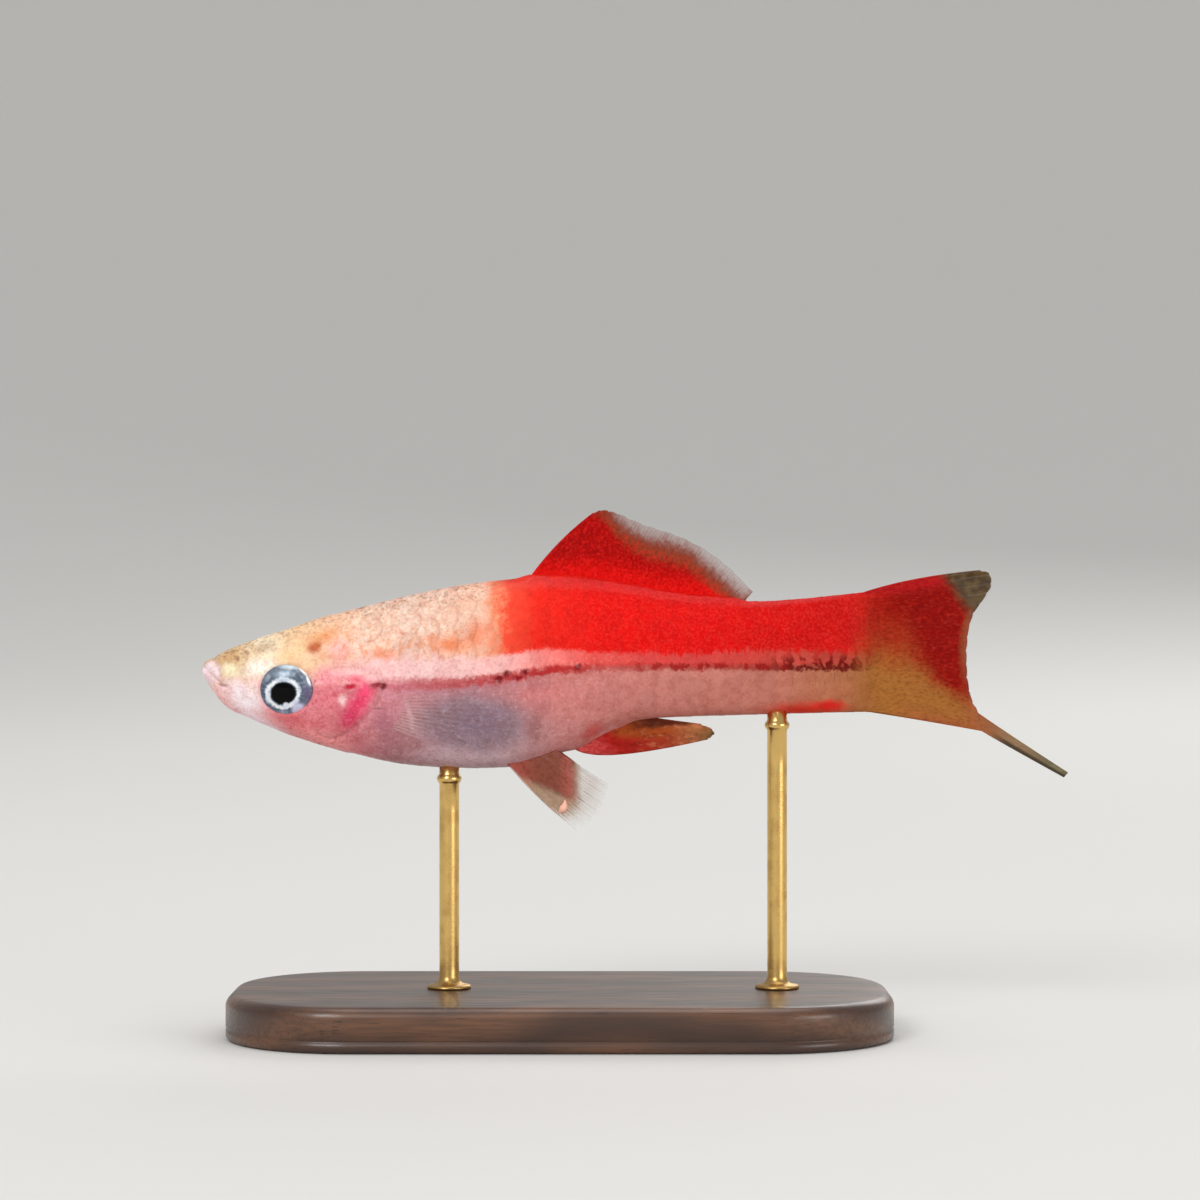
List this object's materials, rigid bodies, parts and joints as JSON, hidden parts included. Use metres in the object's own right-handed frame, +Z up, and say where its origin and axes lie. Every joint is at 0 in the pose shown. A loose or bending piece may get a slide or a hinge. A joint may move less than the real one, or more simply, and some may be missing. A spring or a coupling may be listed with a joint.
{
  "type": "model of a male swordtail on a display stand",
  "caption": "Life-size male swordtail fish, red and white, swimming level, held by brass rods over a rounded dark wooden base.",
  "frame": {"origin": "centre of the base's underside, on the surface that the model stands on", "axes": "+X towards the fish's tail, +Y to the fish's right, +Z up; the fish faces -X"},
  "size_m": [0.079, 0.03, 0.0476],
  "materials": {
    "head_skin": "smooth wet skin, cream and gold above and pink below",
    "trunk_skin": "fine scales, red on the back behind, cream in front, pink and blue-grey below a dark red stripe",
    "stalk_skin": "fine scales, bright red above a dark line and tan below",
    "gill_cover_skin": "smooth wet plate, pink to magenta",
    "red_fin": "translucent red membrane over rays",
    "clear_fin": "clear membrane over pale rays",
    "sword": "olive-tan rays with a dark lower edge",
    "eye": "clear, wet, silver-blue iris with a black pupil",
    "wood": "dark, waxed",
    "brass": "polished, a little dulled"
  },
  "bodies": {
    "root": {"head": "head_skin", "gill_cover_left": "gill_cover_skin", "gill_cover_right": "gill_cover_skin", "eye_left": "eye", "eye_right": "eye", "trunk": "trunk_skin", "tail_stalk": "stalk_skin", "dorsal_fin": "red_fin", "tail_fin": "red_fin", "sword": "sword", "anal_fin": "red_fin", "pelvic_fin_left": "clear_fin", "pelvic_fin_right": "clear_fin", "pectoral_fin_left": "clear_fin", "pectoral_fin_right": "clear_fin", "stand_rod_front": "brass", "stand_rod_rear": "brass", "stand_base": "wood"}
  },
  "joints": []
}
